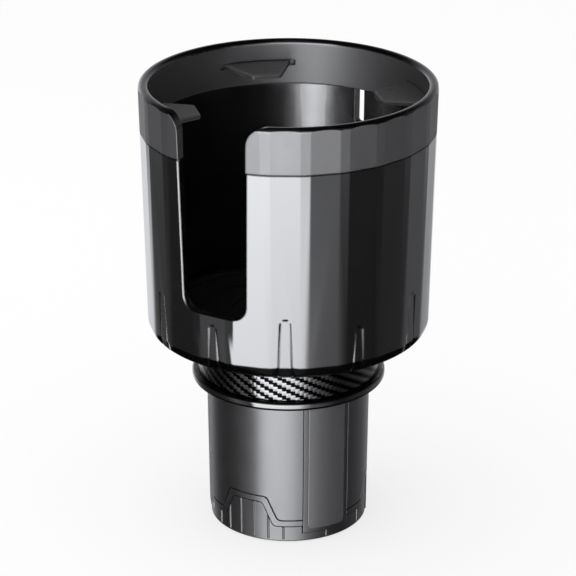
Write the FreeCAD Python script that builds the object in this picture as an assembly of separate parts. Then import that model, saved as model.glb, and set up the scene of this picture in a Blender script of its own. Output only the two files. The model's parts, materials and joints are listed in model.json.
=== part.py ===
import FreeCAD, Part
import math
import os

V = FreeCAD.Vector
os.makedirs("parts", exist_ok=True)

# Cup holder expander, in millimetres. +Z is up and the origin is the centre of the base's underside.
# The handle slot of the cup faces -Y. Angles are counted from there, anticlockwise seen from above.

# Base: the plug that goes into the cup holder of a vehicle
BASE_R = 31.8  # outer radius at the floor
BASE_DRAFT = 0.7  # degrees of taper, wider upwards
BASE_H = 60.6
BASE_WALL = 2.5
BASE_EDGE = 1.8  # rounding of the lower edge
FLANGE_R = BASE_R + 6.9
FLANGE_T = 3.6
FLANGE_EDGE = 1.3
SHADOW_GAP = 0.7  # recess of the wall under the flange, as high as it is deep

# Windows, jaws and grip pads
JAW_COUNT = 3
WINDOW_HALF = 10.1
WINDOW_SILL = 3.75
JAW_GAP = 0.25  # between a jaw and its window, floor and cover
JAW_WALL = 2.5
JAW_SIDE_T = 1.6
JAW_SIDE_DEPTH = 8.5
BAR_HALF = 6.0
BAR_T = 4.9
WEB_T = 2.4
WEB_INNER_R = BASE_R - 12.8
PAD_HALF = 8.1
PAD_SINK = 1.0
PAD_PROUD = 0.2
PAD_SILL = 5.5
PAD_CORNER = 2.0

# Twist mechanism: pins of the jaws run in radial slots of a fixed plate and in spiral slots of a turning plate
TWIST = 90.0  # degrees from closed to fully open
JAW_TRAVEL = 8.0
PIN_R = 2.0
PIN_GRIP = 4.3  # length pressed into the jaw
SLOT_CLEAR = 0.15
SCROLL_T = 3.5
SCROLL_R = BASE_R - 5.9
SCROLL_RIM = 3.9  # from the open pin's axis to the rim of the plate
PIN_REST_R = SCROLL_R - SCROLL_RIM - JAW_TRAVEL  # distance of a closed pin from the axis
BAR_INNER_R = PIN_REST_R - 3.8
SPIRAL_STEPS = 12
GUIDE_T = 3.3
GUIDE_R = BASE_R - 2.2
GUIDE_HOLE_R = 6.0
RUN_GAP = 0.3  # between plates that slide over each other
RAIL_T = 1.5
RAIL_H = 4.2
RAIL_GAP = 0.2
RAIL_INNER_R = BAR_INNER_R - 1.6
RAIL_OUTER_R = BASE_R - 4.3
HUB_R = 12.0
HUB_FIT = 0.08

# Base cap, skirt and screw posts
CAP_T = 3.0
CAP_GAP = 0.2
SKIRT_T = 2.0
POST_R = 3.0
POST_AXIS_R = BASE_R - 4.2
CAP_SCREW_AXIS_R = BASE_R - 6.8
CAP_POST_H = 14.0

# Foot relief of the wall panels: two sunk lines over an arch and a sunk field with thin upright ribs
ARCH_TOP = 20.1
ARCH_LOW = 9.9
ARCH_TOP_HALF = 8.6
ARCH_FOOT_HALF = 12.9
ARCH_CORNER = 2.2
ARCH_BAND = 2.7
ARCH_LINE = 0.45  # width of the two sunk lines
ARCH_LINE_DEPTH = 0.9
ARCH_SINK = 0.35  # depth of the field inside the inner line
RIB_R = 0.4
RIB_ANGLES = (-27.5, -16.5, -5.5, 5.5, 16.5, 27.5)
RIB_SILL = 1.4

# Neck between base and cup
NECK_GAP = 0.3
NECK_H = 16.5
NECK_R = FLANGE_R - 3.1
NECK_WALL = 2.4
NECK_FLOOR = 3.0
BAND_T = 0.75
BAND_GAP = 0.05

# Faceted cup
CUP_H = 102.3
CUP_FOOT_R = 55.8  # corner radius of the facets at the underside
CUP_DRAFT = 1.31
CUP_WALL = 2.8
CUP_BORE_DRAFT = 0.87
CUP_FLOOR = 3.2
CUP_CORNER = 4.0
BORE_CORNER = 3.0
FACETS = 24
FACET_HALF = 5.65  # half angle of a broad facet; a narrow one fills the rest
FIN_TALL = 25.2  # height of the fins' tops above the cup's underside
FIN_SHORT = 19.6
FIN_TALL_HALF = (2.5, 1.6)
FIN_SHORT_HALF = (2.05, 1.2)
FIN_PROUD = 0.25
FIN_FOOT = 1.6
FIN_GROOVE = 0.7  # width of the sloping groove round a fin
FIN_GROOVE_DEPTH = 0.4

# Handle slot and rear slit
SLOT_FLOOR = 24.2  # above the cup's underside
SLOT_HALF = 13.7
SLOT_DRAFT = 1.1
SLOT_CORNER = 5.5
SLOT_FLARE = 8.0  # radius of the opening's upper corners in the rim ring
SLIT_W = 4.0
SLIT_ANGLE = 178.8
SLIT_DEPTH = 14.2  # below the rim ring
SLIT_CORNER = 1.2

# Rim ring
RING_H = 18.3
RING_BORE_R = CUP_FOOT_R - 2.0
RING_EDGE = 2.0
SEAM = 0.35  # fine groove between cup and ring
TONGUE_R = RING_BORE_R + 1.4
TONGUE_T = 1.3
TONGUE_H = 5.0
TONGUE_GAP = 0.1
TONGUE_CUT_HALF = 25.0

# Four soft flaps in pockets of the ring
FLAP_COUNT = 4
FLAP_T = 1.9
FLAP_DROP = 8.7  # from the rim down to the flaps' upper faces
FLAP_REACH = 17.9  # from the bore of the ring inwards
FLAP_TIP_HALF = 5.8
FLAP_ROOT_HALF = 14.0
FLAP_CORNER = 1.4
FLAP_BEVEL = 0.5
FLAP_SEAT = 2.0  # depth of the pocket
FLAP_FIT = 0.05
POCKET_HALF = 15.5
POCKET_SPARE = 0.3  # height left open over a flap

# Cup mat
MAT_T = 1.8
MAT_GAP = 0.6
MAT_RIDGE = 0.5
MAT_RIDGES = 4

# Self-tapping screws
SCREW_R = 1.25
SCREW_HEAD_R = 2.4
SCREW_HEAD_H = 1.6
SCREW_L = 10.0
SCREW_CLEAR = 0.05
HUB_SCREW_AXIS_R = 7.0
NECK_SCREW_AXIS_R = 22.0
NECK_SCREWS = 4
FLANGE_SCREW_L = 20.0
SCREW_TIP_ROOM = 1.0

# Heights that follow from the sizes above
FLANGE_TOP = BASE_H + FLANGE_T
SCROLL_TOP = BASE_H - RUN_GAP
SCROLL_LOW = SCROLL_TOP - SCROLL_T
GUIDE_TOP = SCROLL_LOW - RUN_GAP
GUIDE_LOW = GUIDE_TOP - GUIDE_T
BAR_TOP = GUIDE_LOW - RUN_GAP
JAW_LOW = WINDOW_SILL + JAW_GAP
JAW_TOP = BASE_H - RUN_GAP
NECK_LOW = FLANGE_TOP + NECK_GAP
CUP_LOW = NECK_LOW + NECK_H
CUP_TOP = CUP_LOW + CUP_H
RING_LOW = CUP_TOP - RING_H
FLOOR_TOP = CUP_LOW + CUP_FLOOR
FLAP_TOP = CUP_TOP - FLAP_DROP
HOLE_R = SCREW_R + SCREW_CLEAR
HEAD_HOLE_R = SCREW_HEAD_R + SCREW_CLEAR
HEAD_SINK = SCREW_HEAD_H + SCREW_CLEAR
FACET_FLAT = math.cos(math.radians(FACET_HALF))
JAW_ANGLES = [(k + 0.5) * 360.0 / JAW_COUNT for k in range(JAW_COUNT)]
PANEL_ANGLES = [k * 360.0 / JAW_COUNT for k in range(JAW_COUNT)]
FLAP_ANGLES = [(k + 0.5) * 360.0 / FLAP_COUNT for k in range(FLAP_COUNT)]
FAR = 200.0  # longer than any cut needs
LOFT_SPARE = 0.02  # keeps a turned envelope just clear of the facets' corners


def rise(degrees, height):
    return math.tan(math.radians(degrees)) * height


def box(x0, x1, y0, y1, z0, z1):
    return Part.makeBox(x1 - x0, y1 - y0, z1 - z0, V(x0, y0, z0))


def rod(radius, z0, z1, distance=0.0):
    return Part.makeCylinder(radius, z1 - z0, V(0, -distance, z0))


def turned(shape, angle):
    copy = shape.copy()
    copy.rotate(V(0, 0, 0), V(0, 0, 1), angle)
    return copy


def around(shape, angles):
    return [turned(shape, angle) for angle in angles]


def round_corner(before, corner, after, radius):
    to_before = (before - corner).normalize()
    to_after = (after - corner).normalize()
    half = to_before.getAngle(to_after) / 2
    reach = radius / math.tan(half)
    start = corner + to_before * reach
    end = corner + to_after * reach
    bisector = (to_before + to_after).normalize()
    middle = corner + bisector * (radius / math.sin(half) - radius)
    return start, middle, end


def outline(corners, place):
    # corners are (u, v, radius); place turns u and v into a point
    points = [place(u, v) for u, v, radius in corners]
    edges = []
    ends = []
    for k, (u, v, radius) in enumerate(corners):
        if radius > 0:
            after = points[(k + 1) % len(points)]
            start, middle, end = round_corner(points[k - 1], points[k], after, radius)
            edges.append((k, Part.Arc(start, middle, end).toShape()))
            ends.append((start, end))
        else:
            ends.append((points[k], points[k]))
    for k in range(len(points)):
        start = ends[k][1]
        end = ends[(k + 1) % len(points)][0]
        edges.append((k + 0.5, Part.LineSegment(start, end).toShape()))
    edges.sort(key=lambda pair: pair[0])
    return Part.Wire([edge for order, edge in edges])


def upright(u, v):
    return V(u, 0, v)


def lying(u, v):
    return V(u, v, 0)


def front_prism(corners, near, far):
    # An upright outline pushed out towards -Y, from the distance near to the distance far
    face = Part.Face(outline(corners, upright))
    face.translate(V(0, -near, 0))
    return face.extrude(V(0, near - far, 0))


def front_taper(near_corners, near, far_corners, far):
    # Like front_prism, but the outline changes on the way out
    wires = []
    for corners, distance in ((near_corners, near), (far_corners, far)):
        wire = outline(corners, upright)
        wire.translate(V(0, -distance, 0))
        wires.append(wire)
    return Part.makeLoft(wires, True, True)


def turned_body(corners):
    # A section in radius and height, turned about the axis
    return Part.Face(outline(corners, upright)).revolve(V(0, 0, 0), V(0, 0, 1), 360)


def round_edges(shape, radius, chosen):
    return shape.makeFillet(radius, [edge for edge in shape.Edges if chosen(edge)])


def circle_at(height, radius):
    def chosen(edge):
        box_of_edge = edge.BoundBox
        flat = box_of_edge.ZLength < 0.01
        return flat and abs(box_of_edge.ZMin - height) < 0.01 and abs(box_of_edge.XMax - radius) < 0.05
    return chosen


def screw(length, distance, head_face, down=True):
    # Pan head and shank; the head's outer face lies at head_face
    sense = 1 if down else -1
    head = Part.makeCylinder(SCREW_HEAD_R, SCREW_HEAD_H, V(0, -distance, head_face), V(0, 0, -sense))
    shank_start = head_face - sense * SCREW_HEAD_H
    shank = Part.makeCylinder(SCREW_R, length, V(0, -distance, shank_start), V(0, 0, -sense))
    return head.fuse(shank).removeSplitter()


def base_cone(inset, z0=0.0, z1=BASE_H):
    return Part.makeCone(
        BASE_R + rise(BASE_DRAFT, z0) - inset, BASE_R + rise(BASE_DRAFT, z1) - inset, z1 - z0, V(0, 0, z0)
    )


def arch_region(inset):
    # The foot relief seen from the front: a low band that steps up over an arch
    slope = math.atan2(ARCH_TOP - ARCH_LOW, ARCH_FOOT_HALF - ARCH_TOP_HALF)
    shift = inset * math.tan(slope / 2)
    foot = ARCH_FOOT_HALF - shift
    top = ARCH_TOP_HALF - shift
    side = BASE_R
    return [
        (-side, -1, 0),
        (side, -1, 0),
        (side, ARCH_LOW - inset, 0),
        (foot, ARCH_LOW - inset, ARCH_CORNER),
        (top, ARCH_TOP - inset, ARCH_CORNER),
        (-top, ARCH_TOP - inset, ARCH_CORNER),
        (-foot, ARCH_LOW - inset, ARCH_CORNER),
        (-side, ARCH_LOW - inset, 0),
    ]


def arch_prism(inset):
    return front_prism(arch_region(inset), BASE_R / 2, FAR)


def sunk_line(inset):
    # A groove of even width that follows the arch
    return arch_prism(inset).cut(arch_prism(inset + ARCH_LINE)).cut(base_cone(ARCH_LINE_DEPTH))


def foot_relief():
    # Cutters for the two sunk lines and the field, then the ribs that stand in the field
    field = arch_prism(ARCH_BAND + ARCH_LINE)
    cutters = [sunk_line(0), sunk_line(ARCH_BAND), field.cut(base_cone(ARCH_SINK))]
    foot = V(0, -BASE_R + ARCH_SINK, 0)
    lean = V(0, -rise(BASE_DRAFT, 1), 1)
    rib = Part.makeCylinder(RIB_R, ARCH_TOP, foot, lean)
    rib = rib.common(box(-RIB_R, RIB_R, -FAR, 0, RIB_SILL, ARCH_TOP))
    ribs = [turned(rib, angle).common(field) for angle in RIB_ANGLES]
    return cutters, ribs


def shadow_gap():
    return rod(FAR, BASE_H - SHADOW_GAP, BASE_H).cut(base_cone(SHADOW_GAP))


def base_housing():
    wall = round_edges(base_cone(0), BASE_EDGE, circle_at(0, BASE_R))
    posts = rod(POST_R, CAP_T, GUIDE_LOW, POST_AXIS_R)
    posts = posts.fuse(rod(POST_R, CAP_T, CAP_T + CAP_POST_H, CAP_SCREW_AXIS_R))
    posts = posts.fuse(
        box(-POST_R, POST_R, -POST_AXIS_R, -CAP_SCREW_AXIS_R, CAP_T, CAP_T + CAP_POST_H)
    )
    hole_foot = FLANGE_TOP - SCREW_HEAD_H - FLANGE_SCREW_L - SCREW_TIP_ROOM
    upper_hole = rod(HOLE_R, hole_foot, BASE_H, POST_AXIS_R)
    lower_hole = rod(HOLE_R, 0, CAP_T + SCREW_L, CAP_SCREW_AXIS_R)
    cutters, ribs = foot_relief()
    wall = wall.cut([base_cone(BASE_WALL, -1, BASE_H + 1), shadow_gap()])
    for angle in PANEL_ANGLES:
        wall = wall.cut([turned(cutter, angle) for cutter in cutters])
    wall = wall.fuse([turned(piece, angle) for angle in PANEL_ANGLES for piece in ribs + [posts]])
    window = box(-WINDOW_HALF, WINDOW_HALF, -FAR, -BASE_R / 2, WINDOW_SILL, BASE_H + 1)
    wall = wall.cut(around(window, JAW_ANGLES))
    return wall.cut(around(upper_hole, PANEL_ANGLES) + around(lower_hole, PANEL_ANGLES)).removeSplitter()


def rails(z0, z1):
    inner = BAR_HALF + RAIL_GAP
    outer = inner + RAIL_T
    left = box(-outer, -inner, -RAIL_OUTER_R, -RAIL_INNER_R, z0, z1)
    right = box(inner, outer, -RAIL_OUTER_R, -RAIL_INNER_R, z0, z1)
    return [left, right]


def base_cap():
    disc = rod(BASE_R - BASE_WALL - CAP_GAP, 0, CAP_T)
    runway = box(-BAR_HALF, BAR_HALF, -RAIL_OUTER_R, -RAIL_INNER_R, CAP_T, WINDOW_SILL)
    ribs = rails(CAP_T, CAP_T + RAIL_H) + [runway]
    disc = disc.fuse([turned(rib, angle) for angle in JAW_ANGLES for rib in ribs])
    hole = rod(HOLE_R, 0, CAP_T, CAP_SCREW_AXIS_R)
    seat = rod(HEAD_HOLE_R, 0, HEAD_SINK, CAP_SCREW_AXIS_R)
    return disc.cut(around(hole, PANEL_ANGLES) + around(seat, PANEL_ANGLES)).removeSplitter()


def cap_screws():
    return Part.makeCompound(around(screw(SCREW_L, CAP_SCREW_AXIS_R, SCREW_CLEAR, False), PANEL_ANGLES))


def base_flange():
    disc = rod(FLANGE_R, BASE_H, FLANGE_TOP)
    disc = round_edges(disc, FLANGE_EDGE, lambda edge: len(edge.Vertexes) == 1 and edge.BoundBox.ZLength < 0.01)
    skirt = rod(GUIDE_R, GUIDE_TOP, BASE_H).cut(rod(GUIDE_R - SKIRT_T, GUIDE_TOP, BASE_H))
    disc = disc.fuse(skirt).cut(rod(HUB_R + HUB_FIT, BASE_H, FLANGE_TOP))
    hole = rod(HOLE_R, GUIDE_TOP, FLANGE_TOP, POST_AXIS_R)
    seat = rod(HEAD_HOLE_R, FLANGE_TOP - HEAD_SINK, FLANGE_TOP, POST_AXIS_R)
    return disc.cut(around(hole, PANEL_ANGLES) + around(seat, PANEL_ANGLES)).removeSplitter()


def flange_screws():
    return Part.makeCompound(
        around(screw(FLANGE_SCREW_L, POST_AXIS_R, FLANGE_TOP - SCREW_CLEAR), PANEL_ANGLES)
    )


def guide_plate():
    plate = rod(GUIDE_R, GUIDE_LOW, GUIDE_TOP)
    ribs = rails(GUIDE_LOW - RAIL_H, GUIDE_LOW)
    plate = plate.fuse([turned(rib, angle) for angle in JAW_ANGLES for rib in ribs])
    half = PIN_R + SLOT_CLEAR
    open_r = PIN_REST_R + JAW_TRAVEL
    slot = rod(half, GUIDE_LOW, GUIDE_TOP, PIN_REST_R).fuse(
        [rod(half, GUIDE_LOW, GUIDE_TOP, open_r), box(-half, half, -open_r, -PIN_REST_R, GUIDE_LOW, GUIDE_TOP)]
    )
    hole = rod(HOLE_R, GUIDE_LOW, GUIDE_TOP, POST_AXIS_R)
    cuts = around(slot, JAW_ANGLES) + around(hole, PANEL_ANGLES) + [rod(GUIDE_HOLE_R, GUIDE_LOW, GUIDE_TOP)]
    return plate.cut(cuts).removeSplitter()


def spiral_point(share, offset):
    # A point of the spiral that a pin follows, moved sideways by offset, and the direction of travel
    twist = math.radians(TWIST)
    angle = twist * share
    radius = PIN_REST_R + JAW_TRAVEL * share
    outward = V(math.sin(angle), -math.cos(angle), 0)
    along = V(math.cos(angle), math.sin(angle), 0)
    travel = (outward * (JAW_TRAVEL / twist) + along * radius).normalize()
    side = V(travel.y, -travel.x, 0)
    return outward * radius + side * offset, travel


def spiral_slot():
    half = PIN_R + SLOT_CLEAR
    shares = [step / SPIRAL_STEPS for step in range(SPIRAL_STEPS + 1)]
    outer = Part.BSplineCurve()
    outer.interpolate([spiral_point(share, half)[0] for share in shares])
    inner = Part.BSplineCurve()
    inner.interpolate([spiral_point(share, -half)[0] for share in reversed(shares)])
    first, first_way = spiral_point(0, 0)
    last, last_way = spiral_point(1, 0)
    far_end = Part.Arc(spiral_point(1, half)[0], last + last_way * half, spiral_point(1, -half)[0])
    near_end = Part.Arc(spiral_point(0, -half)[0], first - first_way * half, spiral_point(0, half)[0])
    face = Part.Face(Part.Wire([edge.toShape() for edge in (outer, far_end, inner, near_end)]))
    face.translate(V(0, 0, SCROLL_LOW))
    return face.extrude(V(0, 0, SCROLL_T))


def scroll_plate():
    plate = rod(SCROLL_R, SCROLL_LOW, SCROLL_TOP)
    hole = rod(HOLE_R, SCROLL_LOW, SCROLL_TOP, HUB_SCREW_AXIS_R)
    seat = rod(HEAD_HOLE_R, SCROLL_LOW, SCROLL_LOW + HEAD_SINK, HUB_SCREW_AXIS_R)
    cuts = around(spiral_slot(), JAW_ANGLES) + around(hole, PANEL_ANGLES) + around(seat, PANEL_ANGLES)
    return plate.cut(cuts).removeSplitter()


def hub_screws():
    return Part.makeCompound(
        around(screw(SCREW_L, HUB_SCREW_AXIS_R, SCROLL_LOW + SCREW_CLEAR, False), PANEL_ANGLES)
    )


def jaw():
    # Built facing -Y in the closed position: outer wall, side walls, two bars and the web that ties them
    half = WINDOW_HALF - JAW_GAP
    outer = base_cone(0, JAW_LOW, JAW_TOP)
    plug = box(-half, half, -FAR, 0, JAW_LOW, JAW_TOP)
    wall = outer.cut(base_cone(JAW_WALL, JAW_LOW - 1, JAW_TOP + 1)).common(plug)
    inner_r = BASE_R - JAW_WALL - JAW_SIDE_DEPTH
    back = box(-half, half, -FAR, -inner_r, JAW_LOW, BAR_TOP)
    hollow = box(-half + JAW_SIDE_T, half - JAW_SIDE_T, -FAR, -inner_r, JAW_LOW, BAR_TOP)
    sides = back.cut(hollow).common(outer)
    low_bar = box(-BAR_HALF, BAR_HALF, -FAR, -BAR_INNER_R, JAW_LOW, JAW_LOW + BAR_T).common(outer)
    top_bar = box(-BAR_HALF, BAR_HALF, -FAR, -BAR_INNER_R, BAR_TOP - BAR_T, BAR_TOP).common(outer)
    web = box(-WEB_T / 2, WEB_T / 2, -FAR, -WEB_INNER_R, JAW_LOW + BAR_T, BAR_TOP - BAR_T).common(outer)
    body = wall.fuse([sides, low_bar, top_bar, web])
    body = body.cut([pad_block(JAW_TOP + 1), shadow_gap()])
    return body.cut(rod(PIN_R, BAR_TOP - PIN_GRIP, BAR_TOP, PIN_REST_R)).removeSplitter()


def pad_block(top):
    # The strip seen from the front, from its seat in the jaw outwards
    strip = [
        (-PAD_HALF, top, 0),
        (-PAD_HALF, PAD_SILL, PAD_CORNER),
        (PAD_HALF, PAD_SILL, PAD_CORNER),
        (PAD_HALF, top, 0),
    ]
    return front_prism(strip, BASE_R / 2, FAR).cut(base_cone(PAD_SINK, -1, BASE_H + 1))


def grip_pad():
    return pad_block(BASE_H - SHADOW_GAP).common(base_cone(-PAD_PROUD))


def follower_pin():
    return rod(PIN_R, BAR_TOP - PIN_GRIP, SCROLL_TOP - RUN_GAP, PIN_REST_R)


def neck_collar():
    # Open bowl under the cup; its hub passes the flange and carries the scroll plate
    bowl = rod(NECK_R, NECK_LOW, CUP_LOW).cut(rod(NECK_R - NECK_WALL, NECK_LOW + NECK_FLOOR, CUP_LOW))
    hub = rod(HUB_R, SCROLL_TOP, NECK_LOW)
    boss_top = NECK_LOW + NECK_FLOOR + SCREW_L / 2
    bosses = around(rod(POST_R, NECK_LOW, boss_top, HUB_SCREW_AXIS_R), PANEL_ANGLES)
    posts = around(rod(POST_R, NECK_LOW, CUP_LOW, NECK_SCREW_AXIS_R), neck_screw_angles())
    hub_hole = rod(HOLE_R, SCROLL_TOP, SCROLL_TOP + SCREW_L, HUB_SCREW_AXIS_R)
    post_hole = rod(HOLE_R, CUP_LOW - SCREW_L, CUP_LOW, NECK_SCREW_AXIS_R)
    bowl = bowl.fuse([hub] + bosses + posts)
    return bowl.cut(around(hub_hole, PANEL_ANGLES) + around(post_hole, neck_screw_angles())).removeSplitter()


def neck_screw_angles():
    return [(k + 0.5) * 360.0 / NECK_SCREWS for k in range(NECK_SCREWS)]


def collar_screws():
    return Part.makeCompound(
        around(screw(SCREW_L, NECK_SCREW_AXIS_R, FLOOR_TOP - SCREW_CLEAR), neck_screw_angles())
    )


def carbon_band():
    inner = NECK_R + BAND_GAP
    return rod(inner + BAND_T, NECK_LOW, CUP_LOW).cut(rod(inner, NECK_LOW, CUP_LOW))


def cup_r(z):
    return CUP_FOOT_R + rise(CUP_DRAFT, z - CUP_LOW)


def facet_section(z, inset=0.0):
    radius = cup_r(z) - inset
    pitch = 360.0 / FACETS
    points = []
    for k in range(FACETS):
        for side in (-1, 1):
            angle = math.radians(k * pitch + side * FACET_HALF)
            points.append(V(radius * math.sin(angle), -radius * math.cos(angle), z))
    return Part.makePolygon(points + points[:1])


def facet_body(z0, z1, inset=0.0):
    return Part.makeLoft([facet_section(z0, inset), facet_section(z1, inset)], True, True)


def on_facet(shape):
    # Puts a shape drawn upright at the origin onto the broad facet that faces -Y
    copy = shape.copy()
    copy.rotate(V(0, 0, 0), V(1, 0, 0), math.degrees(math.atan(rise(CUP_DRAFT, 1) * FACET_FLAT)))
    copy.translate(V(0, -CUP_FOOT_R * FACET_FLAT, CUP_LOW))
    return copy


def fin_corners(height, foot_half, top_half, wider):
    return [
        (-foot_half - wider, FIN_FOOT - wider, 0),
        (foot_half + wider, FIN_FOOT - wider, 0),
        (top_half + wider, height + wider, top_half + wider / 2),
        (-top_half - wider, height + wider, top_half + wider / 2),
    ]


def fin_at(height, halves):
    # A raised tapered fin and the sloping groove around it
    foot_half, top_half = halves
    corners = fin_corners(height, foot_half, top_half, 0)
    wider = fin_corners(height, foot_half, top_half, FIN_GROOVE)
    fin = front_prism(corners, -CUP_WALL / 2, FIN_PROUD)
    groove = front_taper(corners, -FIN_GROOVE_DEPTH, wider, 0)
    groove = groove.fuse(front_prism(wider, 0, 1)).cut(front_prism(corners, -CUP_WALL / 2, 2))
    return on_facet(fin), on_facet(groove)


def handle_slot():
    # The handle slot up to the rim, where slot_flare widens it into rounded corners
    low = CUP_LOW + SLOT_FLOOR
    top = CUP_TOP + 1
    half_top = SLOT_HALF + rise(SLOT_DRAFT, top - low)
    corners = [
        (-SLOT_HALF, low, SLOT_CORNER),
        (SLOT_HALF, low, SLOT_CORNER),
        (half_top, top, 0),
        (-half_top, top, 0),
    ]
    return front_prism(corners, CUP_FOOT_R / 2, FAR)


def slot_flare():
    # The rounded upper corners of the opening in the rim ring
    low = CUP_TOP - SLOT_FLARE
    half = SLOT_HALF + rise(SLOT_DRAFT, low - CUP_LOW - SLOT_FLOOR)
    wide = half + SLOT_FLARE
    block = box(-wide, wide, -FAR, -CUP_FOOT_R / 2, low, CUP_TOP + 1)
    for side in (-1, 1):
        corner = Part.makeCylinder(SLOT_FLARE, FAR, V(side * wide, 0, low), V(0, -1, 0))
        block = block.cut(corner)
    return block


def cup_envelope(foot, proud):
    # Rounds the lower corner of everything on the cup's outside
    low_r = cup_r(CUP_LOW + foot) + proud
    section = [
        (0, CUP_LOW, 0),
        (low_r, CUP_LOW, foot),
        (cup_r(CUP_TOP) + proud, CUP_TOP, 0),
        (0, CUP_TOP, 0),
    ]
    return turned_body(section)


def cup_bore():
    low_r = CUP_FOOT_R * FACET_FLAT - CUP_WALL
    height = RING_LOW - FLOOR_TOP
    bore = Part.makeCone(low_r, low_r + rise(CUP_BORE_DRAFT, height), height, V(0, 0, FLOOR_TOP))
    return round_edges(bore, BORE_CORNER, circle_at(FLOOR_TOP, low_r))


def cup_shell():
    body = facet_body(CUP_LOW, RING_LOW - SEAM).fuse(facet_body(RING_LOW - SEAM, RING_LOW, SEAM))
    body = body.common(cup_envelope(CUP_CORNER, LOFT_SPARE))
    fins = []
    grooves = []
    fin_pitch = 720.0 / FACETS
    for k in range(FACETS // 2):
        tall = k % 2 == 1
        fin, groove = fin_at(FIN_TALL if tall else FIN_SHORT, FIN_TALL_HALF if tall else FIN_SHORT_HALF)
        fins.append(turned(fin, k * fin_pitch))
        grooves.append(turned(groove, k * fin_pitch))
    fin_limit = cup_envelope(CUP_CORNER - FIN_FOOT, FIN_PROUD)
    body = body.cut(grooves).fuse([fin.common(fin_limit) for fin in fins])
    tongue = rod(TONGUE_R + TONGUE_T, RING_LOW - 1, RING_LOW + TONGUE_H).cut(
        rod(TONGUE_R, RING_LOW - 2, RING_LOW + TONGUE_H + 1)
    )
    gap = box(-TONGUE_CUT_HALF, TONGUE_CUT_HALF, -FAR, 0, RING_LOW, CUP_TOP)
    body = body.fuse(tongue.cut(gap)).cut(cup_bore())
    slit = front_prism(
        [
            (-SLIT_W / 2, RING_LOW - SLIT_DEPTH, SLIT_CORNER),
            (SLIT_W / 2, RING_LOW - SLIT_DEPTH, SLIT_CORNER),
            (SLIT_W / 2, RING_LOW, 0),
            (-SLIT_W / 2, RING_LOW, 0),
        ],
        CUP_FOOT_R / 2,
        FAR,
    )
    body = body.cut([handle_slot(), turned(slit, SLIT_ANGLE)])
    hole = rod(HOLE_R, CUP_LOW, FLOOR_TOP, NECK_SCREW_AXIS_R)
    seat = rod(HEAD_HOLE_R, FLOOR_TOP - HEAD_SINK, FLOOR_TOP, NECK_SCREW_AXIS_R)
    return body.cut(around(hole, neck_screw_angles()) + around(seat, neck_screw_angles())).removeSplitter()


def flap_outline(tip_r, root_r):
    return [
        (-FLAP_ROOT_HALF, -root_r, 0),
        (-FLAP_ROOT_HALF, -RING_BORE_R, 0),
        (-FLAP_TIP_HALF, -tip_r, FLAP_CORNER),
        (FLAP_TIP_HALF, -tip_r, FLAP_CORNER),
        (FLAP_ROOT_HALF, -RING_BORE_R, 0),
        (FLAP_ROOT_HALF, -root_r, 0),
    ]


def rim_flap():
    # Soft tongue that steadies a drink; its root sits in a pocket of the ring
    tip_r = RING_BORE_R - FLAP_REACH
    face = Part.Face(outline(flap_outline(tip_r, RING_BORE_R + FLAP_SEAT), lying))
    face.translate(V(0, 0, FLAP_TOP - FLAP_T))
    plate = face.extrude(V(0, 0, FLAP_T))
    free_edges = []
    for edge in plate.Edges:
        on_top = abs(edge.BoundBox.ZMin - FLAP_TOP) < 0.01
        if on_top and edge.CenterOfMass.y > -RING_BORE_R + FLAP_FIT:
            free_edges.append(edge)
    plate = plate.makeChamfer(FLAP_BEVEL, free_edges)
    return plate.common(rod(RING_BORE_R + FLAP_SEAT - FLAP_FIT, FLAP_TOP - FLAP_T, FLAP_TOP))


def flap_pocket():
    reach = RING_BORE_R + FLAP_SEAT
    pocket = rod(reach, FLAP_TOP - FLAP_T - FLAP_FIT, FLAP_TOP + POCKET_SPARE)
    return pocket.common(box(-POCKET_HALF, POCKET_HALF, -reach, -CUP_FOOT_R / 2, RING_LOW, CUP_TOP))


def rim_ring():
    body = facet_body(RING_LOW, CUP_TOP)
    section = [
        (RING_BORE_R, RING_LOW, 0),
        (cup_r(RING_LOW) + LOFT_SPARE, RING_LOW, 0),
        (cup_r(CUP_TOP) + LOFT_SPARE, CUP_TOP, RING_EDGE),
        (RING_BORE_R, CUP_TOP, RING_EDGE),
    ]
    body = body.common(turned_body(section))
    channel = rod(TONGUE_R + TONGUE_T + TONGUE_GAP, RING_LOW, RING_LOW + TONGUE_H + TONGUE_GAP).cut(
        rod(TONGUE_R - TONGUE_GAP, RING_LOW, RING_LOW + TONGUE_H + TONGUE_GAP)
    )
    half = TONGUE_CUT_HALF - TONGUE_GAP
    channel = channel.cut(box(-half, half, -FAR, 0, RING_LOW, CUP_TOP))
    cuts = [channel, handle_slot(), slot_flare()] + around(flap_pocket(), FLAP_ANGLES)
    return body.cut(cuts).removeSplitter()


def cup_mat():
    radius = CUP_FOOT_R * FACET_FLAT - CUP_WALL - BORE_CORNER - MAT_GAP
    disc = rod(radius, FLOOR_TOP, FLOOR_TOP + MAT_T)
    for k in range(MAT_RIDGES):
        ridge_r = radius * (k + 1) / (MAT_RIDGES + 0.1)
        ridge = rod(ridge_r + MAT_RIDGE, FLOOR_TOP, FLOOR_TOP + MAT_T + MAT_RIDGE).cut(
            rod(ridge_r - MAT_RIDGE, FLOOR_TOP, FLOOR_TOP + MAT_T + MAT_RIDGE)
        )
        disc = disc.fuse(ridge)
    return disc.removeSplitter()


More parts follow.
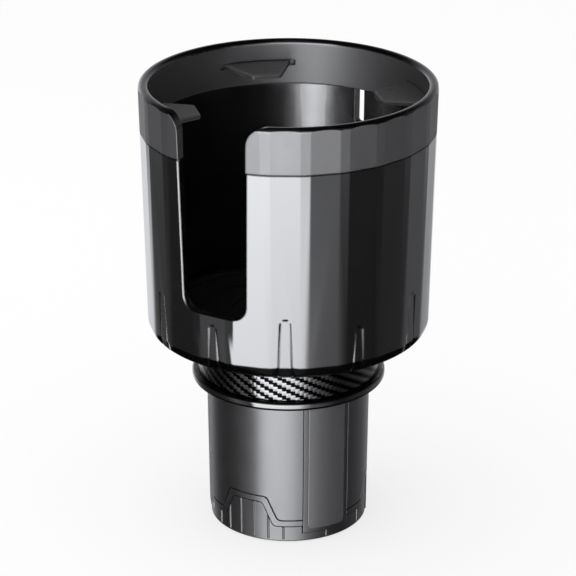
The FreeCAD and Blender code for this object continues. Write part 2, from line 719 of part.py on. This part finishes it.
def build():
    nodes = {
        "cup_shell": cup_shell(),
        "rim_ring": rim_ring(),
        "cup_mat": cup_mat(),
        "neck_collar": neck_collar(),
        "carbon_band": carbon_band(),
        "collar_screws": collar_screws(),
        "scroll_plate": scroll_plate(),
        "hub_screws": hub_screws(),
        "base_flange": base_flange(),
        "flange_screws": flange_screws(),
        "guide_plate": guide_plate(),
        "base_housing": base_housing(),
        "base_cap": base_cap(),
        "cap_screws": cap_screws(),
    }
    for name, angle in zip(("right", "rear", "left"), JAW_ANGLES):
        nodes["jaw_" + name] = turned(jaw(), angle)
        nodes["grip_pad_" + name] = turned(grip_pad(), angle)
        nodes["follower_pin_" + name] = turned(follower_pin(), angle)
    for name, angle in zip(("front_right", "rear_right", "rear_left", "front_left"), FLAP_ANGLES):
        nodes["rim_flap_" + name] = turned(rim_flap(), angle)
    return nodes


for node, shape in build().items():
    shape.exportStep("parts/" + node + ".step")
    print(node, len(shape.Solids), shape.isValid(), round(shape.Volume, 1))
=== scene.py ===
import json
import math

import bmesh
import bpy
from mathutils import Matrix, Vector

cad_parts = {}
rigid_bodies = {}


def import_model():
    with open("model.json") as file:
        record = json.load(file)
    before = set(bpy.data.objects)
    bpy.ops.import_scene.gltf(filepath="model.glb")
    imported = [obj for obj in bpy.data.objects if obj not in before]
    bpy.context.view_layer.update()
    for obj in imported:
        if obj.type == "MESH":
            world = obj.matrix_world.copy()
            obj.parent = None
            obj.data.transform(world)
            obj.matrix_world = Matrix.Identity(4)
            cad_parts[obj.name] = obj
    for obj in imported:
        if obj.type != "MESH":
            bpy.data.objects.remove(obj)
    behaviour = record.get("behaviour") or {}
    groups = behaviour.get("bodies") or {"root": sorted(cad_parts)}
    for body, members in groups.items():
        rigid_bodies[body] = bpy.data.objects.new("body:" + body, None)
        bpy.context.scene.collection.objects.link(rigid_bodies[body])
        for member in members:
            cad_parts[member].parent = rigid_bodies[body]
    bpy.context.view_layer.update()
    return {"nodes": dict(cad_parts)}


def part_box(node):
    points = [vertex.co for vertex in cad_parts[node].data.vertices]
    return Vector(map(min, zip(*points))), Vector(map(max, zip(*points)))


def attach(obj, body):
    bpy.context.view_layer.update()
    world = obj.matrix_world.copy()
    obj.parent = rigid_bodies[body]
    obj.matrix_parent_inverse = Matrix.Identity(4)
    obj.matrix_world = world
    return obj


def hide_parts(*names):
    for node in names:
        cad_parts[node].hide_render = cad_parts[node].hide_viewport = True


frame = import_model()
NODES = frame["nodes"]

# Camera, fitted to the photograph: the cup's axis stands upright near the middle of the frame
PHOTO_PX = 576
FOCAL_PX = 2706.7
SENSOR_MM = 36.0
CAMERA_TURN = 31.2  # degrees round the axis from the handle slot
CAMERA_TILT = 22.2  # degrees downwards
CAMERA_REACH = 0.9958  # metres from the axis, measured level
CAMERA_HEIGHT = 0.5034
CAMERA_FAR = 20  # metres, past which the camera sees nothing
AXIS_PX = 288.4  # column of the photograph in which the axis stands

# Light, where a level of 1 shows a colour about as it is written
ROOM_LEVEL = 1.0
OVERHEAD_LEVEL = 1.2
OVERHEAD_PLACE = (-0.2, -0.3, 1.5)
OVERHEAD_AIM = (0, 0, 0.09)
OVERHEAD_SIZE = 1.5

# Floor: a square just below the base, and the share of plain white that the camera sees over it
FLOOR_SIZE = 12
FLOOR_DROP = 0.0002
FLOOR_WHITE = 0.72

# What a glossy surface sees round the object: degrees from the camera to its right, and the level there
ROUND_THE_ROOM = (
    (-180, 0.9),
    (-152, 1.3),
    (-137, 0.58),
    (-126, 0.18),
    (-107, 0.08),
    (-92, 0.08),
    (-77, 0.14),
    (-62, 0.6),
    (-48, 0.35),
    (-44, 0.3),
    (-40, 7.5),
    (-17, 7.7),
    (-2, 7.0),
    (6, 6.3),
    (12.5, 5.5),
    (19, 2.6),
    (27, 0.8),
    (43, 0.4),
    (58, 0.09),
    (73, 0.07),
    (88, 0.12),
    (103, 0.15),
    (118, 0.3),
    (132, 0.26),
    (148, 0.56),
    (163, 0.7),
    (180, 0.9),
)
BRIGHTEST = 8.0  # a ramp's colours end at 1, so the levels are divided by this and multiplied back
LIGHT_TINT = (0.985, 0.995, 1.035)  # slightly cool

# The same from straight below to overhead: sine of the height, and the share of the level there
UP_THE_ROOM = (
    (-1.0, 0.01),
    (-0.56, 0.01),
    (-0.47, 0.75),
    (-0.36, 1.0),
    (-0.05, 1.0),
    (0.38, 0.35),
    (0.6, 0.01),
    (1.0, 0.01),
)

# Finishes: where most of a noise's values lie, and the roughness of the polished black
NOISE_LOW = 0.3
NOISE_HIGH = 0.7
POLISHED = (0.05, 0.09)
EDGE_SAMPLES = 6  # rays that look for an edge nearby

# Carbon weave: pitch of the upright and of the level threads, and threads in one repeat of the twill
UPRIGHT_PITCH = 0.00173
LEVEL_PITCH = 0.0009
REPEAT = 4
UPRIGHT_SHARE = 0.49  # just under half of a repeat, which is counted in quarters
BAND_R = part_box("carbon_band")[1][0]

# Cup as the solid has it: the flats lean out by a share of the height over the foot
CUP_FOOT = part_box("cup_shell")[0][2]
FLATS_FOOT_R = 0.05553
FLATS_RISE = 0.02276
SOLID_ROUND = 0.004  # turned rounding of the foot
FINS = 12
FIN_REACH = 0.0035  # a fin's points lie this near to its middle line
FIN_TOP = 0.1075
FIN_PROUD = 0.0001  # a fin's points stand at least this far out of the flats
FIN_FOOT_PROUD = -0.0006  # or this far where the foot's rounding draws them in
RING_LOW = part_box("rim_ring")[0][2]
SLOT_REACH = 0.0165  # half of the handle slot's width, and a little more
SLOT_LOW = FIN_TOP - 0.004  # the slot's outer edge lies above this

# A point is on the cup's outside when it lies further from the axis than this
OUTER_SKIN_R = 0.0532
FOOT_SKIN_R = 0.0505  # or further than this where it is lower in the foot than the next height
FOOT_SKIN_TOP = 0.0031

# Changes to the solid: sunk fins, one larger rounding of the foot, and a chamfer on the slot's edge
FIN_SINK = 0.00065
FOOT_ROUND = 0.0058
FOOT_LEVELS = (0.0058, 0.0052, 0.0045)  # heights of new rows of points, over the solid's rounding
SLOT_CHAMFER = 0.0006
SLOT_FOLD = math.radians(45)  # the slot's edge folds by more than this
HAIR = 0.0001  # allowance where two heights are compared

# Mesh of the cup: what is merged, and which folds stay sharp
SAME_POINT = 0.000002
SAME_AFTER_SINKING = 0.00003
SAME_PLANE = math.radians(0.3)
TALL_EDGE = 0.002  # an upright edge between two flats climbs by more than this
FLATS_FOLD = math.radians(4.8)  # and folds by more than this, so it stays sharp
SMOOTH_FOLD = math.radians(26)  # any other edge that folds by less is shaded smooth


def add_camera():
    turn = math.radians(CAMERA_TURN)
    place = (CAMERA_REACH * math.sin(turn), -CAMERA_REACH * math.cos(turn), CAMERA_HEIGHT)
    bpy.ops.object.camera_add(location=place, rotation=(math.radians(90 - CAMERA_TILT), 0, turn))
    camera = bpy.context.object
    camera.name = "photo_camera"
    camera.data.sensor_width = SENSOR_MM
    camera.data.lens = FOCAL_PX / PHOTO_PX * SENSOR_MM
    camera.data.shift_x = (PHOTO_PX / 2 - AXIS_PX) / PHOTO_PX
    camera.data.clip_end = CAMERA_FAR
    bpy.context.scene.camera = camera


class Recipe:
    """Nodes of a material or of the room, added one by one and joined."""

    def __init__(self, tree):
        self.nodes = tree.nodes
        self.links = tree.links

    def node(self, kind, **values):
        made = self.nodes.new(kind)
        for key, value in values.items():
            setattr(made, key, value)
        return made

    def feed(self, socket, value):
        if isinstance(value, bpy.types.NodeSocket):
            self.links.new(value, socket)
        else:
            socket.default_value = value

    def math(self, operation, first, second=0.0):
        made = self.node("ShaderNodeMath", operation=operation)
        self.feed(made.inputs[0], first)
        self.feed(made.inputs[1], second)
        return made.outputs[0]

    def split(self, vector):
        made = self.node("ShaderNodeSeparateXYZ")
        self.feed(made.inputs[0], vector)
        return made.outputs

    def spread(self, value, low, high, start=NOISE_LOW, end=NOISE_HIGH):
        """Low where the value is at the start, and high where it is at the end."""
        made = self.node("ShaderNodeMapRange")
        for key, number in (("From Min", start), ("From Max", end), ("To Min", low), ("To Max", high)):
            self.feed(made.inputs[key], number)
        self.feed(made.inputs["Value"], value)
        return made.outputs["Result"]

    def blend(self, share, first, second):
        made = self.node("ShaderNodeMix")
        self.feed(made.inputs["Factor"], share)
        self.feed(made.inputs["A"], first)
        self.feed(made.inputs["B"], second)
        return made.outputs["Result"]

    def ramp(self, value, stops):
        """Colour by value, through stops of a position from 0 to 1 and a colour."""
        made = self.node("ShaderNodeValToRGB")
        elements = made.color_ramp.elements
        while len(elements) < len(stops):
            elements.new(1.0)
        for element, (position, colour) in zip(elements, stops):
            element.position = position
            element.color = (*colour, 1)
        self.feed(made.inputs["Fac"], value)
        return made.outputs["Color"]


class Finish(Recipe):
    """A material, and its shader."""

    def __init__(self, name, **uniform):
        self.material = bpy.data.materials.new(name)
        self.material.use_nodes = True
        super().__init__(self.material.node_tree)
        self.shader = self.nodes["Principled BSDF"]
        for key, value in uniform.items():
            self.shader.inputs[key.replace("_", " ")].default_value = value

    def place(self, scale=(1, 1, 1)):
        """Place on the piece in metres, stretched by a scale."""
        source = self.node("ShaderNodeTexCoord")
        mapping = self.node("ShaderNodeMapping")
        self.feed(mapping.inputs["Scale"], scale)
        self.feed(mapping.inputs["Vector"], source.outputs["Object"])
        return mapping.outputs["Vector"]

    def noise(self, size, detail=2.0, stretch=(1, 1, 1)):
        made = self.node("ShaderNodeTexNoise")
        self.feed(made.inputs["Scale"], 1 / size)
        self.feed(made.inputs["Detail"], detail)
        self.feed(made.inputs["Vector"], self.place(stretch))
        return made.outputs["Fac"]

    def tint(self, value, dark, light, below=None, above=None):
        """Colour from dark to light over a noise's values, and other colours past either end."""
        stops = ((NOISE_LOW, dark), (NOISE_HIGH, light))
        if below:
            stops = ((0.0, below), *stops)
        if above:
            stops = (*stops, (1.0, above))
        self.feed(self.shader.inputs["Base Color"], self.ramp(value, stops))

    def rough(self, value):
        self.feed(self.shader.inputs["Roughness"], value)

    def soft_edges(self, radius):
        """The way that the surface faces, with its edges rounded by a radius."""
        made = self.node("ShaderNodeBevel", samples=EDGE_SAMPLES)
        self.feed(made.inputs["Radius"], radius)
        return made.outputs["Normal"]

    def relief(self, value, height, ground=None):
        """The way that the surface faces with relief of a height, on soft edges where they are given."""
        made = self.node("ShaderNodeBump")
        self.feed(made.inputs["Distance"], height)
        self.feed(made.inputs["Height"], value)
        if ground is not None:
            self.feed(made.inputs["Normal"], ground)
        return made.outputs["Normal"]

    def surface(self, value=None, height=0.0, edge=0.0):
        """Gives the finish soft edges, fine relief or both."""
        facing = self.soft_edges(edge) if edge else None
        if value is not None:
            facing = self.relief(value, height, facing)
        self.feed(self.shader.inputs["Normal"], facing)

    def painted_edge_highlight(self, radius):
        """Painted highlight: 1 where rounding the edges turns the surface well away, and 0 on flat faces."""
        made = self.node("ShaderNodeVectorMath", operation="DOT_PRODUCT")
        self.feed(made.inputs[0], self.soft_edges(radius))
        self.feed(made.inputs[1], self.node("ShaderNodeNewGeometry").outputs["Normal"])
        return self.spread(made.outputs["Value"], 1, 0, start=0.85, end=0.98)

    def whiten(self, share):
        """Shows the camera a share of plain white over the surface and its shadows."""
        white = self.node("ShaderNodeEmission")
        mixed = self.node("ShaderNodeMixShader")
        seen = self.node("ShaderNodeLightPath").outputs["Is Camera Ray"]
        self.feed(mixed.inputs["Fac"], self.math("MULTIPLY", seen, share))
        self.feed(mixed.inputs[1], self.shader.outputs["BSDF"])
        self.feed(mixed.inputs[2], white.outputs["Emission"])
        self.feed(self.nodes["Material Output"].inputs["Surface"], mixed.outputs["Shader"])

    def rise(self):
        """How far the surface looks up, as the sine of its slope."""
        return self.split(self.node("ShaderNodeTexCoord").outputs["Normal"])[2]

    def facing_out(self):
        """1 where the surface looks away from the axis, and 0 where it looks towards it."""
        made = self.node("ShaderNodeVectorMath", operation="DOT_PRODUCT")
        self.feed(made.inputs[0], self.place((1, 1, 0)))
        self.feed(made.inputs[1], self.node("ShaderNodeTexCoord").outputs["Normal"])
        return self.math("GREATER_THAN", made.outputs["Value"], 0.0)


def glossy_black(name):
    """Polished black under a thin clear coat, and the noise that varies it."""
    finish = Finish(name, IOR=1.9, Coat_Weight=0.35, Coat_Roughness=0.02)
    cloud = finish.noise(size=0.012)
    finish.tint(cloud, (0.0015, 0.0015, 0.0017), (0.003, 0.003, 0.0032))
    return finish, cloud


def cup_gloss():
    """Glossy facets outside and a satin wall inside."""
    finish, cloud = glossy_black("glossy_black_cup")
    satin = finish.spread(cloud, 0.24, 0.27)
    gloss = finish.spread(cloud, *POLISHED)
    finish.rough(finish.blend(finish.facing_out(), satin, gloss))
    finish.surface(edge=0.0009)
    return finish.material


def flange_gloss():
    finish, cloud = glossy_black("glossy_black_flange")
    finish.rough(finish.spread(cloud, *POLISHED))
    finish.surface(edge=0.0003)
    return finish.material


def rim_satin():
    """Satin walls that run into a polished top rounding, which is also coloured near black as painted shade.
    """
    finish = Finish("satin_black_rim", IOR=2.2)
    cloud = finish.noise(size=0.006, detail=3)
    top_polish_and_painted_shade = finish.spread(finish.rise(), 0, 1, start=0.12, end=0.4)
    # Painted shade: the upward-facing top is taken below the noise's range, to a near-black colour; its
    # lower roughness is real polish
    wall_tone_and_painted_shade = finish.math("SUBTRACT", cloud, top_polish_and_painted_shade)
    finish.tint(wall_tone_and_painted_shade, (0.022, 0.022, 0.023), (0.03, 0.03, 0.031), below=(0.002, 0.002, 0.002))
    finish.rough(finish.blend(top_polish_and_painted_shade, finish.spread(cloud, 0.46, 0.5), 0.13))
    finish.surface(finish.noise(size=0.0006), height=0.00001, edge=0.0008)
    return finish.material


def base_satin():
    finish = Finish("satin_black_base", IOR=2.02)
    cloud = finish.noise(size=0.008, detail=3)
    finish.tint(cloud, (0.008, 0.008, 0.0085), (0.012, 0.012, 0.0125))
    finish.rough(finish.spread(cloud, 0.32, 0.35))
    finish.surface(finish.noise(size=0.0005), height=0.000008, edge=0.0003)
    return finish.material


def pad_rubber():
    finish = Finish("grip_rubber", IOR=2.1)
    cloud = finish.noise(size=0.003, detail=3)
    finish.tint(cloud, (0.036, 0.036, 0.038), (0.043, 0.043, 0.045))
    finish.rough(finish.spread(cloud, 0.46, 0.5))
    finish.surface(finish.noise(size=0.0003), height=0.00002, edge=0.0006)
    return finish.material


def flap_rubber():
    """Dark rubber with a painted highlight that makes it paler along its edges."""
    finish = Finish("flap_rubber", IOR=1.85)
    cloud = finish.noise(size=0.003, detail=3)
    # Painted highlight: the colour goes up to pale grey where the edges round off, as if light caught them
    cloud_and_painted_highlight = finish.math("ADD", cloud, finish.painted_edge_highlight(0.0006))
    finish.tint(cloud_and_painted_highlight, (0.03, 0.03, 0.031), (0.038, 0.038, 0.039), above=(0.2, 0.2, 0.2))
    finish.rough(finish.spread(cloud, 0.45, 0.55))
    finish.surface(finish.noise(size=0.0004), height=0.000015, edge=0.0005)
    return finish.material


def plain_plastic(name, dark, light):
    finish = Finish(name)
    cloud = finish.noise(size=0.004, detail=3)
    finish.tint(cloud, dark, light)
    finish.rough(finish.spread(cloud, 0.4, 0.5))
    finish.surface(finish.noise(size=0.0005), height=0.00001)
    return finish.material


def inner_plastic():
    return plain_plastic("inner_black_plastic", (0.012, 0.012, 0.012), (0.018, 0.018, 0.018))


def slide_plastic():
    """Natural plastic of the two plates that slide inside the base."""
    return plain_plastic("slide_plastic", (0.68, 0.67, 0.63), (0.74, 0.73, 0.69))


def mat_rubber():
    finish = Finish("mat_rubber")
    cloud = finish.noise(size=0.005, detail=3)
    finish.tint(cloud, (0.004, 0.004, 0.004), (0.007, 0.007, 0.007))
    finish.rough(finish.spread(cloud, 0.6, 0.75))
    finish.surface(finish.noise(size=0.0004), height=0.00003)
    return finish.material


def screw_steel():
    finish = Finish("zinc_steel", Metallic=1.0)
    cloud = finish.noise(size=0.001, detail=3)
    finish.tint(cloud, (0.42, 0.43, 0.44), (0.56, 0.57, 0.58))
    finish.rough(finish.spread(cloud, 0.22, 0.34))
    return finish.material


def half_wave(finish, value):
    """0 at each whole number of the value, and 1 or -1 half-way between them."""
    return finish.math("SINE", finish.math("MULTIPLY", value, math.pi))


def carbon_weave():
    """Two-by-two twill: upright threads show where column and row add up to the first half of a repeat."""
    finish = Finish("carbon_weave", Metallic=1.0)
    x, y, z = finish.split(finish.place())

    # Place in the weave, counted in threads round the neck and up it
    repeats = round(2 * math.pi * BAND_R / UPRIGHT_PITCH / REPEAT)
    angle = finish.math("ARCTAN2", x, finish.math("MULTIPLY", y, -1.0))
    across = finish.math("MULTIPLY", angle, repeats * REPEAT / (2 * math.pi))
    along = finish.math("DIVIDE", z, LEVEL_PITCH)
    column = finish.math("FLOOR", across)
    row = finish.math("FLOOR", along)
    step = finish.math("FRACT", finish.math("DIVIDE", finish.math("ADD", column, row), REPEAT))
    upright = finish.math("LESS_THAN", step, UPRIGHT_SHARE)

    # The thread that shows is highest half-way over the two that it crosses, and along its middle
    on_upright = finish.math("FRACT", finish.math("DIVIDE", finish.math("ADD", column, along), REPEAT))
    on_level = finish.math("FRACT", finish.math("DIVIDE", finish.math("ADD", across, row), REPEAT))
    crown = finish.blend(
        upright,
        finish.math("MULTIPLY", half_wave(finish, finish.math("MULTIPLY", on_level, 2.0)), -1.0),
        half_wave(finish, finish.math("MULTIPLY", on_upright, 2.0)),
    )
    thread = finish.blend(
        upright,
        half_wave(finish, finish.math("FRACT", along)),
        half_wave(finish, finish.math("FRACT", across)),
    )

    # Fibres run along each thread; the upright threads are coloured bright as a painted reflection, and the
    # level threads near black as painted shade
    fibres = finish.blend(
        upright,
        finish.noise(size=0.0002, stretch=(0.1, 0.1, 1)),
        finish.noise(size=0.0002, stretch=(1, 1, 0.1)),
    )
    painted_thread_sheen = finish.math("MULTIPLY", upright, finish.spread(fibres, 0.6, 1.0))
    finish.tint(painted_thread_sheen, (0.0015, 0.0015, 0.0015), (0.125, 0.125, 0.125))
    finish.rough(finish.spread(fibres, 0.12, 0.2))
    finish.surface(finish.math("MULTIPLY", crown, thread), height=0.00003)
    return finish.material


def select(kind, rule):
    """Selects what a rule picks, in edit mode."""
    bpy.ops.mesh.select_mode(type=kind)
    bpy.ops.mesh.select_all(action="DESELECT")
    mesh = bpy.context.object.data
    shape = bmesh.from_edit_mesh(mesh)
    for item in {"VERT": shape.verts, "EDGE": shape.edges}[kind]:
        if rule(item):
            item.select_set(True)
    bmesh.update_edit_mesh(mesh)


def merged_copy(node, name):
    """A copy of a solid's mesh as one skin of flat faces, open for editing."""
    source = NODES[node]
    bpy.ops.object.select_all(action="DESELECT")
    source.select_set(True)
    bpy.context.view_layer.objects.active = source
    bpy.ops.object.duplicate()
    piece = bpy.context.object
    piece.name = name
    for mark in list(piece.keys()):  # marks that the node carries don't hold for its copy
        del piece[mark]
    bpy.ops.object.parent_clear(type="CLEAR_KEEP_TRANSFORM")
    bpy.ops.mesh.customdata_custom_splitnormals_clear()
    bpy.ops.object.mode_set(mode="EDIT")
    bpy.ops.mesh.select_all(action="SELECT")
    bpy.ops.mesh.remove_doubles(threshold=SAME_POINT)
    bpy.ops.mesh.dissolve_limited(angle_limit=SAME_PLANE)
    return piece


def on_skin(vert):
    """Whether a point is on the cup's outside."""
    in_foot = vert.co.z < CUP_FOOT + FOOT_SKIN_TOP
    return math.hypot(vert.co.x, vert.co.y) > (FOOT_SKIN_R if in_foot else OUTER_SKIN_R)


def sink_fins():
    """Moves the fins in below the flats, with a sloping bank round each."""
    for fin in range(FINS):
        turn = 2 * math.pi * fin / FINS
        out = Vector((math.sin(turn), -math.cos(turn), 0))

        def is_raised(vert):
            aside = vert.co.cross(out).z
            flat = FLATS_FOOT_R + FLATS_RISE * (vert.co.z - CUP_FOOT)
            proud = vert.co.dot(out) - flat
            least = FIN_FOOT_PROUD if vert.co.z < CUP_FOOT + SOLID_ROUND else FIN_PROUD
            return vert.co.z < FIN_TOP and abs(aside) < FIN_REACH and proud > least

        select("VERT", is_raised)
        bpy.ops.transform.translate(value=-FIN_SINK * out)
    bpy.ops.mesh.select_all(action="SELECT")
    bpy.ops.mesh.remove_doubles(threshold=SAME_AFTER_SINKING)


def inset_at(height, radius):
    """How far a rounding draws the wall in at a height over the foot."""
    return radius - math.sqrt(max(0.0, radius**2 - (radius - min(height, radius)) ** 2))


def row_of(vert):
    """Height of a point to a tenth of a millimetre, which names its row."""
    return round(vert.co.z, 4)


def round_foot():
    """Gives the foot one larger rounding that follows the flats, row by row."""
    for height in FOOT_LEVELS:
        bpy.ops.mesh.select_all(action="SELECT")
        bpy.ops.mesh.bisect(plane_co=(0, 0, CUP_FOOT + height), plane_no=(0, 0, 1))
    shape = bmesh.from_edit_mesh(bpy.context.object.data)
    rows = {}
    for vert in shape.verts:
        if vert.co.z < CUP_FOOT + FOOT_ROUND and on_skin(vert):
            rows.setdefault(row_of(vert), []).append(vert.co.z)
    for row, heights in sorted(rows.items()):
        select("VERT", lambda vert: row_of(vert) == row and on_skin(vert))
        above = sum(heights) / len(heights) - CUP_FOOT
        wall = FLATS_FOOT_R + FLATS_RISE * above
        share = (wall - inset_at(above, FOOT_ROUND)) / (wall - inset_at(above, SOLID_ROUND))
        bpy.ops.transform.resize(value=(share, share, 1), center_override=(0, 0, 0))


def fold_of(edge):
    """Angle between the two faces at an edge, and 0 where there aren't two."""
    return edge.calc_face_angle(0) if len(edge.link_faces) == 2 else 0


def chamfer_slot():
    """Breaks the handle slot's outer edge below the ring."""

    def at_slot(place):
        across = abs(place.x) < SLOT_REACH and -place.y > OUTER_SKIN_R
        return across and SLOT_LOW < place.z <= RING_LOW + HAIR

    def is_slot_edge(edge):
        return fold_of(edge) >= SLOT_FOLD and all(at_slot(vert.co) for vert in edge.verts)

    bpy.ops.mesh.select_all(action="SELECT")
    bpy.ops.mesh.bisect(plane_co=(0, 0, RING_LOW), plane_no=(0, 0, 1))
    select("EDGE", is_slot_edge)
    bpy.ops.mesh.bevel(offset=SLOT_CHAMFER, segments=1, affect="EDGES", clamp_overlap=False)


def add_cup():
    """The cup's shell, dressed as the solid, with sunk fins, a larger foot and a chamfered slot."""
    cup = merged_copy("cup_shell", "cup_skin")
    sink_fins()
    round_foot()
    chamfer_slot()

    def is_fold(edge):
        low, high = sorted(vert.co.z for vert in edge.verts)
        outside = all(on_skin(vert) for vert in edge.verts)
        return outside and high - low > TALL_EDGE and fold_of(edge) > FLATS_FOLD

    select("EDGE", is_fold)
    bpy.ops.mesh.mark_sharp()
    bpy.ops.object.mode_set(mode="OBJECT")
    bpy.ops.object.shade_smooth_by_angle(angle=SMOOTH_FOLD, keep_sharp_edges=True)
    bpy.ops.object.modifier_add(type="WEIGHTED_NORMAL")
    cup.modifiers[0].keep_sharp = True
    bpy.ops.object.modifier_apply(modifier=cup.modifiers[0].name)
    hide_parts("cup_shell")
    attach(cup, "cup")


def dress_nodes():
    """Gives every CAD node its finish; the cup's copy takes it over."""
    base = base_satin()
    pad = pad_rubber()
    flap = flap_rubber()
    inner = inner_plastic()
    slide = slide_plastic()
    metal = screw_steel()
    chosen = {
        "cup_shell": cup_gloss(),
        "base_flange": flange_gloss(),
        "rim_ring": rim_satin(),
        "cup_mat": mat_rubber(),
        "base_housing": base,
        "neck_collar": inner,
        "base_cap": inner,
        "scroll_plate": slide,
        "guide_plate": slide,
        "carbon_band": carbon_weave(),
        "collar_screws": metal,
        "hub_screws": metal,
        "flange_screws": metal,
        "cap_screws": metal,
    }
    for side in ("right", "rear", "left"):
        chosen["jaw_" + side] = base
        chosen["grip_pad_" + side] = pad
        chosen["follower_pin_" + side] = metal
    for corner in ("front_right", "rear_right", "rear_left", "front_left"):
        chosen["rim_flap_" + corner] = flap
    for node, material in chosen.items():
        for slot in NODES[node].material_slots:
            slot.material = material


def add_floor():
    bpy.ops.object.select_all(action="DESELECT")
    bpy.ops.mesh.primitive_plane_add(size=FLOOR_SIZE, location=(0, 0, -FLOOR_DROP))
    floor = bpy.context.object
    floor.name = "studio_floor"
    finish = Finish("pale_floor", IOR=1.3)
    cloud = finish.noise(size=0.4)
    finish.tint(cloud, (0.94, 0.94, 0.94), (0.96, 0.96, 0.96))
    finish.rough(finish.spread(cloud, 0.8, 0.9))
    finish.whiten(FLOOR_WHITE)
    floor.data.materials.append(finish.material)
    floor.visible_glossy = False


def ramp_stops(pairs, low, high, top=1.0, colour=(1, 1, 1)):
    """Stops of a ramp from pairs of place and level, where places run from low to high and levels to top."""
    return [
        ((place - low) / (high - low), [share * level / top for share in colour]) for place, level in pairs
    ]


def light_room():
    """White for the camera, an even level on dull surfaces, and a banded room in glossy ones."""
    world = bpy.data.worlds.new("studio_room")
    bpy.context.scene.world = world
    world.use_nodes = True
    world.cycles.sampling_method = "NONE"
    room = Recipe(world.node_tree)
    room.nodes.clear()

    turned = room.node("ShaderNodeMapping")
    room.feed(turned.inputs["Rotation"], (0, 0, math.radians(-CAMERA_TURN)))
    room.feed(turned.inputs["Vector"], room.node("ShaderNodeTexCoord").outputs["Generated"])
    x, y, z = room.split(turned.outputs["Vector"])
    azimuth = room.math("ARCTAN2", x, room.math("MULTIPLY", y, -1.0))
    around = room.ramp(
        room.spread(azimuth, 0, 1, start=-math.pi, end=math.pi),
        ramp_stops(ROUND_THE_ROOM, -180, 180, BRIGHTEST, LIGHT_TINT),
    )
    upwards = room.ramp(room.spread(z, 0, 1, start=-1, end=1), ramp_stops(UP_THE_ROOM, -1, 1))
    seen = room.node("ShaderNodeBackground")
    room.feed(seen.inputs["Color"], around)
    room.feed(seen.inputs["Strength"], room.math("MULTIPLY", upwards, BRIGHTEST))

    rays = room.node("ShaderNodeLightPath")
    plain = room.node("ShaderNodeBackground")
    to_camera = room.spread(rays.outputs["Is Camera Ray"], ROOM_LEVEL, 1.0, start=0, end=1)
    room.feed(plain.inputs["Strength"], to_camera)
    mixed = room.node("ShaderNodeMixShader")
    room.feed(mixed.inputs["Fac"], rays.outputs["Is Glossy Ray"])
    room.feed(mixed.inputs[1], plain.outputs["Background"])
    room.feed(mixed.inputs[2], seen.outputs["Background"])
    room.feed(room.node("ShaderNodeOutputWorld").inputs["Surface"], mixed.outputs["Shader"])


def add_overhead_softbox():
    """A square lamp above the object that shows in no reflection."""
    way = Vector(OVERHEAD_AIM) - Vector(OVERHEAD_PLACE)
    turn = way.to_track_quat("-Z", "Y").to_euler()
    bpy.ops.object.light_add(type="AREA", location=OVERHEAD_PLACE, rotation=turn)
    lamp = bpy.context.object
    lamp.name = "overhead_softbox"
    lamp.data.shape = "SQUARE"
    lamp.data.size = OVERHEAD_SIZE
    lamp.data.energy = OVERHEAD_LEVEL * math.pi * OVERHEAD_SIZE**2
    lamp.visible_camera = False
    lamp.visible_glossy = False


def light_studio():
    light_room()
    add_overhead_softbox()
    bpy.context.scene.view_settings.view_transform = "Standard"


add_camera()
dress_nodes()
add_cup()
add_floor()
light_studio()
